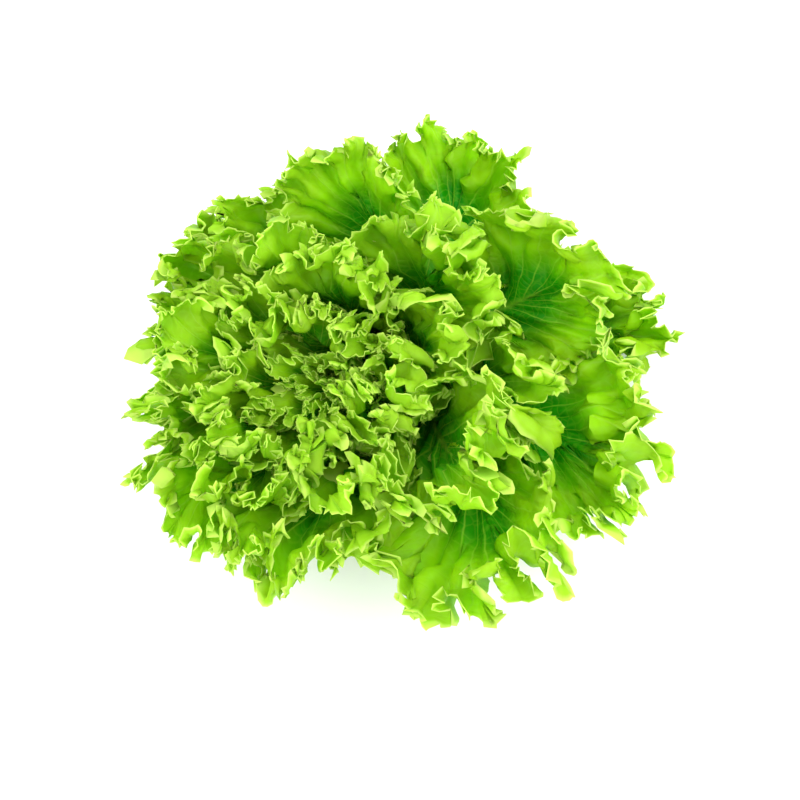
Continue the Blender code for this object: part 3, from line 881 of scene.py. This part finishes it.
def thicken(piece, thickness):
    """Join the piece's doubled points, give it its thickness and smooth its faces."""
    piece.select_set(True)
    bpy.context.view_layer.objects.active = piece
    bpy.ops.object.mode_set(mode="EDIT")
    bpy.ops.mesh.select_all(action="SELECT")
    bpy.ops.mesh.remove_doubles(threshold=MERGE)
    bpy.ops.object.mode_set(mode="OBJECT")
    wall = piece.modifiers.new("Blade", "SOLIDIFY")
    wall.thickness = thickness
    wall.offset = 0.0
    bpy.ops.object.modifier_apply(modifier=wall.name)
    bpy.ops.object.shade_smooth_by_angle(angle=SMOOTH_ANGLE)


def make_leaf(leaf, grid, sizes, material):
    """One finished leaf: a copy of the grid, shaped by the leaf's formula and thickened."""
    deselect_all()
    piece = bpy.data.objects.new(leaf.name + "_fine", grid.data.copy())
    bpy.context.scene.collection.objects.link(piece)
    shape_blade(piece.data, leaf, sizes)
    piece.data.materials.append(material)
    thicken(piece, sizes.blade)
    return piece


def node(tree, kind, **values):
    """A node with the given settings; inputs are set by their names."""
    made = tree.nodes.new(kind)
    for key, value in values.items():
        if key in made.inputs:
            made.inputs[key].default_value = value
        else:
            setattr(made, key, value)
    return made


def feed(tree, socket, value):
    """Give a socket a number, a colour or a link."""
    if isinstance(value, (int, float)):
        socket.default_value = value
    elif isinstance(value, (tuple, list)):
        socket.default_value = (*value[:3], 1.0)
    else:
        tree.links.new(value, socket)


def math_node(tree, operation, first, second):
    """A maths node fed by links or numbers."""
    made = tree.nodes.new("ShaderNodeMath")
    made.operation = operation
    feed(tree, made.inputs[0], first)
    feed(tree, made.inputs[1], second)
    return made.outputs[0]


def mix_node(tree, factor, first, second, mode="MIX"):
    """A colour mix fed by links or colours."""
    made = tree.nodes.new("ShaderNodeMix")
    made.data_type = "RGBA"
    made.blend_type = mode
    feed(tree, made.inputs[0], factor)
    feed(tree, made.inputs[6], first)
    feed(tree, made.inputs[7], second)
    return made.outputs[2]


def ramp_node(tree, value, stops):
    """A colour ramp from (position, colour) stops."""
    made = tree.nodes.new("ShaderNodeValToRGB")
    elements = made.color_ramp.elements
    while len(elements) < len(stops):
        elements.new(0.5)
    for element, (position, colour) in zip(elements, stops):
        element.position = position
        element.color = (*colour[:3], 1.0)
    tree.links.new(value, made.inputs[0])
    return made.outputs[0]


def grey(value):
    """A grey of that value."""
    return (value, value, value)


def branched_veins(group, chart, wander, side_veins, ripple):
    """The midrib, and side veins that taper towards the margin."""
    stray = math_node(group, "SUBTRACT", wander, 0.5)
    bend = math_node(group, "MULTIPLY", stray, ripple)
    across = math_node(group, "MULTIPLY", chart.outputs[0], side_veins)
    wave = math_node(group, "PINGPONG", math_node(group, "ADD", across, bend), 0.5)
    fade = math_node(group, "SUBTRACT", 1.0, math_node(group, "MULTIPLY", chart.outputs[1], 0.75))
    width = math_node(group, "MULTIPLY", fade, 0.11)
    side = math_node(group, "SUBTRACT", 1.0, math_node(group, "DIVIDE", wave, width))
    side = math_node(group, "MAXIMUM", side, 0.0)
    rib = math_node(group, "SUBTRACT", 1.0, math_node(group, "MULTIPLY", chart.outputs[1], 14.0))
    rib = math_node(group, "MAXIMUM", rib, 0.0)
    return math_node(group, "MAXIMUM", side, rib)


def vein_group():
    """Veins of a leaf blade: side veins from the midrib, and a fine net between them."""
    group = bpy.data.node_groups.new("leaf_veins", "ShaderNodeTree")
    for name in ("Chart", "Plan"):
        group.interface.new_socket(name=name, in_out="INPUT", socket_type="NodeSocketVector")
    for name, value in (("Side veins", SIDE_VEINS), ("Ripple", RIPPLE)):
        made = group.interface.new_socket(name=name, in_out="INPUT", socket_type="NodeSocketFloat")
        made.default_value = value
    for name in ("Veins", "Net", "Height"):
        group.interface.new_socket(name=name, in_out="OUTPUT", socket_type="NodeSocketFloat")
    inlet = group.nodes.new("NodeGroupInput")
    outlet = group.nodes.new("NodeGroupOutput")
    parts = node(group, "ShaderNodeSeparateXYZ")
    group.links.new(inlet.outputs["Chart"], parts.inputs[0])
    wander = node(group, "ShaderNodeTexNoise", Scale=9.0, Detail=2.0)
    group.links.new(inlet.outputs["Plan"], wander.inputs["Vector"])
    veins = branched_veins(
        group, parts, wander.outputs[0], inlet.outputs["Side veins"], inlet.outputs["Ripple"])
    cells = node(group, "ShaderNodeTexVoronoi", feature="DISTANCE_TO_EDGE", Scale=34.0)
    group.links.new(inlet.outputs["Plan"], cells.inputs["Vector"])
    net = math_node(group, "MULTIPLY", cells.outputs["Distance"], 9.0)
    net = math_node(group, "SUBTRACT", 1.0, math_node(group, "MINIMUM", net, 1.0))
    puff = math_node(group, "MINIMUM", math_node(group, "MULTIPLY", cells.outputs["Distance"], 3.0), 1.0)
    height = math_node(group, "SUBTRACT", puff, math_node(group, "MULTIPLY", veins, 0.8))
    group.links.new(veins, outlet.inputs["Veins"])
    group.links.new(net, outlet.inputs["Net"])
    group.links.new(height, outlet.inputs["Height"])
    return group


def blade_green(tree, age, colours, outwards):
    """The blade's green from its midrib out to its rim, in faint patches: painted shade near the midrib,
    and a pale rim that is partly painted light.
    """
    # Painted shade: the darker green near the midrib stands for the shade in the head's hollows, with less
    # of it on the inner leaves
    painted_shade = [blend((a, b), 0.15 * age) for a, b in zip(colours.painted_shade, colours.body)]
    body = [blend((a, b), 0.75 * age) for a, b in zip(colours.body, colours.edge)]
    edge = [blend((a, b), 0.16 * age) for a, b in zip(colours.edge, colours.rim)]
    # The pale rim at the margin is partly the leaf's own colour and partly painted light on the lit lips
    green = ramp_node(tree, outwards, list(zip(GREEN_STOPS, (painted_shade, body, edge, colours.rim))))
    place = node(tree, "ShaderNodeTexCoord")
    patches = node(tree, "ShaderNodeTexNoise", Scale=38.0, Detail=3.0, Roughness=0.6)
    tree.links.new(place.outputs["Object"], patches.inputs["Vector"])
    mottle = ramp_node(tree, patches.outputs[0], ((0.3, grey(0.86)), (0.7, grey(1.10))))
    return mix_node(tree, 1.0, green, mottle, "MULTIPLY")


def blade_surface(tree, green, height, through_share):
    """A soft sheen over the veins' relief, and a share of the light let through."""
    bump = node(tree, "ShaderNodeBump", Strength=0.45, Distance=0.0006)
    tree.links.new(height, bump.inputs["Height"])
    shader = node(tree, "ShaderNodeBsdfPrincipled", Roughness=0.42)
    shader.inputs["Specular IOR Level"].default_value = 0.18
    through = node(tree, "ShaderNodeBsdfTranslucent")
    both = node(tree, "ShaderNodeMixShader")
    both.inputs[0].default_value = through_share
    outlet = node(tree, "ShaderNodeOutputMaterial")
    tree.links.new(green, shader.inputs["Base Color"])
    tree.links.new(green, through.inputs["Color"])
    tree.links.new(bump.outputs[0], shader.inputs["Normal"])
    tree.links.new(shader.outputs[0], both.inputs[1])
    tree.links.new(through.outputs[0], both.inputs[2])
    tree.links.new(both.outputs[0], outlet.inputs[0])


def leaf_material(name, age, colours, veins):
    """Fresh leaf: green that pales to the rim, darker near the midrib as painted shade and paler at the rim
    partly as painted light, lighter veins, thin enough to let light through.
    """
    material = bpy.data.materials.new(name)
    material.use_nodes = True
    tree = material.node_tree
    tree.nodes.clear()
    chart = node(tree, "ShaderNodeUVMap", uv_map="UVMap")
    plan = node(tree, "ShaderNodeUVMap", uv_map="Plan")
    parts = node(tree, "ShaderNodeSeparateXYZ")
    tree.links.new(chart.outputs[0], parts.inputs[0])
    net = tree.nodes.new("ShaderNodeGroup")
    net.node_tree = veins
    tree.links.new(chart.outputs[0], net.inputs["Chart"])
    tree.links.new(plan.outputs[0], net.inputs["Plan"])
    green = blade_green(tree, age, colours, parts.outputs[1])
    pale = tuple(colours.vein)
    green = mix_node(tree, math_node(tree, "MULTIPLY", net.outputs["Net"], NET_SHARE), green, pale)
    green = mix_node(tree, math_node(tree, "MULTIPLY", net.outputs["Veins"], VEIN_SHARE), green, pale)
    blade_surface(tree, green, net.outputs["Height"], THROUGH_SHARE + THROUGH_GAIN * age)
    return material


def stem_material(colours):
    """Cut stem: pale, moist, with faint fibres."""
    material = bpy.data.materials.new("cut_stem")
    material.use_nodes = True
    tree = material.node_tree
    shader = tree.nodes["Principled BSDF"]
    shader.inputs["Roughness"].default_value = 0.5
    place = node(tree, "ShaderNodeTexCoord")
    fibres = node(tree, "ShaderNodeTexNoise", Scale=260.0, Detail=4.0)
    tree.links.new(place.outputs["Object"], fibres.inputs["Vector"])
    tint = ramp_node(tree, fibres.outputs[0], ((0.35, grey(0.80)), (0.65, grey(1.08))))
    colour = mix_node(tree, 1.0, tuple(colours.stem), tint, "MULTIPLY")
    tree.links.new(colour, shader.inputs["Base Color"])
    bump = node(tree, "ShaderNodeBump", Strength=0.3, Distance=0.0004)
    tree.links.new(fibres.outputs[0], bump.inputs["Height"])
    tree.links.new(bump.outputs[0], shader.inputs["Normal"])
    return material


class LETTUCE_OT_leaves(bpy.types.Operator):
    """Model the large leaves, each on its own node of the frame"""

    bl_idname = "lettuce.leaves"
    bl_label = "Large leaves"

    def execute(self, context):
        sizes = context.scene.lettuce_sizes
        colours = context.scene.lettuce_colours
        veins = bpy.data.node_groups.get("leaf_veins") or vein_group()
        grid = leaf_grid("leaf_grid", sizes.columns)
        greens = []
        for band in range(GREEN_COUNT):
            age = band / (GREEN_COUNT - 1)
            greens.append(leaf_material(f"leaf_green_{band + 1}", age, colours, veins))
        for index, leaf in enumerate(laid_out_head()[:LEAF_COUNT]):
            dress_big_leaf(leaf, index, sizes)
            material = greens[min(GREEN_COUNT - 1, int(leaf.age * GREEN_COUNT))]
            piece = make_leaf(leaf, grid, sizes, material)
            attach(piece, BODY)
            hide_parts(leaf.name)
        bpy.data.objects.remove(grid)
        return {"FINISHED"}


class LETTUCE_OT_heart(bpy.types.Operator):
    """Model the small frilled leaves of the heart"""

    bl_idname = "lettuce.heart"
    bl_label = "Heart leaves"

    def execute(self, context):
        sizes = context.scene.lettuce_sizes
        colours = context.scene.lettuce_colours
        veins = bpy.data.node_groups.get("leaf_veins") or vein_group()
        grid = leaf_grid("heart_grid", sizes.heart_columns)
        green = leaf_material("heart_green", HEART_AGE, colours, veins)
        for index, leaf in enumerate(laid_out_head()[LEAF_COUNT:]):
            dress_heart_leaf(leaf, index, sizes)
            piece = make_leaf(leaf, grid, sizes, green)
            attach(piece, BODY)
            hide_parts("heart")
        bpy.data.objects.remove(grid)
        return {"FINISHED"}


class LETTUCE_OT_stem(bpy.types.Operator):
    """Give the cut stem of the frame its finish"""

    bl_idname = "lettuce.stem"
    bl_label = "Cut stem"

    def execute(self, context):
        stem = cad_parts["stem"]
        stem.data.materials.clear()
        stem.data.materials.append(stem_material(context.scene.lettuce_colours))
        return {"FINISHED"}


class LETTUCE_OT_stage(bpy.types.Operator):
    """Set the floor, the lamps and the camera"""

    bl_idname = "lettuce.stage"
    bl_label = "Stage"

    def execute(self, context):
        stage = context.scene.lettuce_stage
        add_floor(stage)
        add_lamp("key", KEY_PLACE, KEY_SIZE, stage.key)
        add_lamp("fill", FILL_PLACE, FILL_SIZE, stage.fill)
        add_sky(stage)
        add_camera(stage)
        context.scene.view_settings.view_transform = "Standard"
        return {"FINISHED"}


def add_floor(stage):
    """The pale floor under the head."""
    deselect_all()
    bpy.ops.mesh.primitive_plane_add(size=FLOOR_SIZE, location=(0, 0, FLOOR_DEPTH))
    floor = bpy.context.object
    floor.name = "floor"
    paint = bpy.data.materials.new("floor")
    paint.use_nodes = True
    shader = paint.node_tree.nodes["Principled BSDF"]
    shader.inputs["Base Color"].default_value = (*stage.floor, 1)
    shader.inputs["Roughness"].default_value = 0.8
    floor.data.materials.append(paint)


def add_sky(stage):
    """Even white light from all round."""
    world = bpy.data.worlds.new("sky")
    world.use_nodes = True
    light = world.node_tree.nodes["Background"]
    light.inputs[0].default_value = (1, 1, 1, 1)
    light.inputs[1].default_value = stage.sky
    bpy.context.scene.world = world


def add_lamp(name, place, size, power):
    """A square lamp aimed at the middle of the head."""
    lamp = bpy.data.lights.new(name, "AREA")
    lamp.size = size
    lamp.energy = power
    item = bpy.data.objects.new(name, lamp)
    item.location = place
    item.rotation_euler = (Vector(LAMP_AIM) - Vector(place)).to_track_quat("-Z", "Y").to_euler()
    bpy.context.scene.collection.objects.link(item)


def add_camera(stage):
    """The camera at the photo's viewing angle."""
    lens = bpy.data.cameras.new("camera")
    lens.lens = stage.lens
    lens.sensor_width = SENSOR_WIDTH
    item = bpy.data.objects.new("camera", lens)
    bpy.context.scene.collection.objects.link(item)
    away = Vector((0, -math.cos(stage.elevation), math.sin(stage.elevation)))
    item.location = Vector(stage.target) + away * stage.distance
    item.rotation_euler = (-away).to_track_quat("-Z", "Y").to_euler()
    bpy.context.scene.camera = item


class LETTUCE_PT_panel(bpy.types.Panel):
    """The lettuce's pieces and stage."""

    bl_idname = "LETTUCE_PT_panel"
    bl_label = "Batavia lettuce"
    bl_space_type = "VIEW_3D"
    bl_region_type = "UI"
    bl_category = "Lettuce"

    def draw(self, context):
        layout = self.layout
        for operator in OPERATORS:
            layout.operator(operator.bl_idname)
        for group_name in GROUPS:
            group = getattr(context.scene, group_name)
            box = layout.box()
            for name in group.__annotations__:
                box.prop(group, name)


GROUPS = {"lettuce_sizes": LeafSizes, "lettuce_colours": LeafColours, "lettuce_stage": StageSizes}
OPERATORS = (LETTUCE_OT_leaves, LETTUCE_OT_heart, LETTUCE_OT_stem, LETTUCE_OT_stage)


def register():
    for cls in (*GROUPS.values(), *OPERATORS, LETTUCE_PT_panel):
        bpy.utils.register_class(cls)
    for name, cls in GROUPS.items():
        setattr(bpy.types.Scene, name, bpy.props.PointerProperty(type=cls))


def unregister():
    for name in GROUPS:
        delattr(bpy.types.Scene, name)
    for cls in (LETTUCE_PT_panel, *reversed(OPERATORS), *reversed(GROUPS.values())):
        bpy.utils.unregister_class(cls)


def main():
    register()
    bpy.ops.lettuce.stem()
    bpy.ops.lettuce.leaves()
    bpy.ops.lettuce.heart()
    bpy.ops.lettuce.stage()


if __name__ == "__main__":
    main()
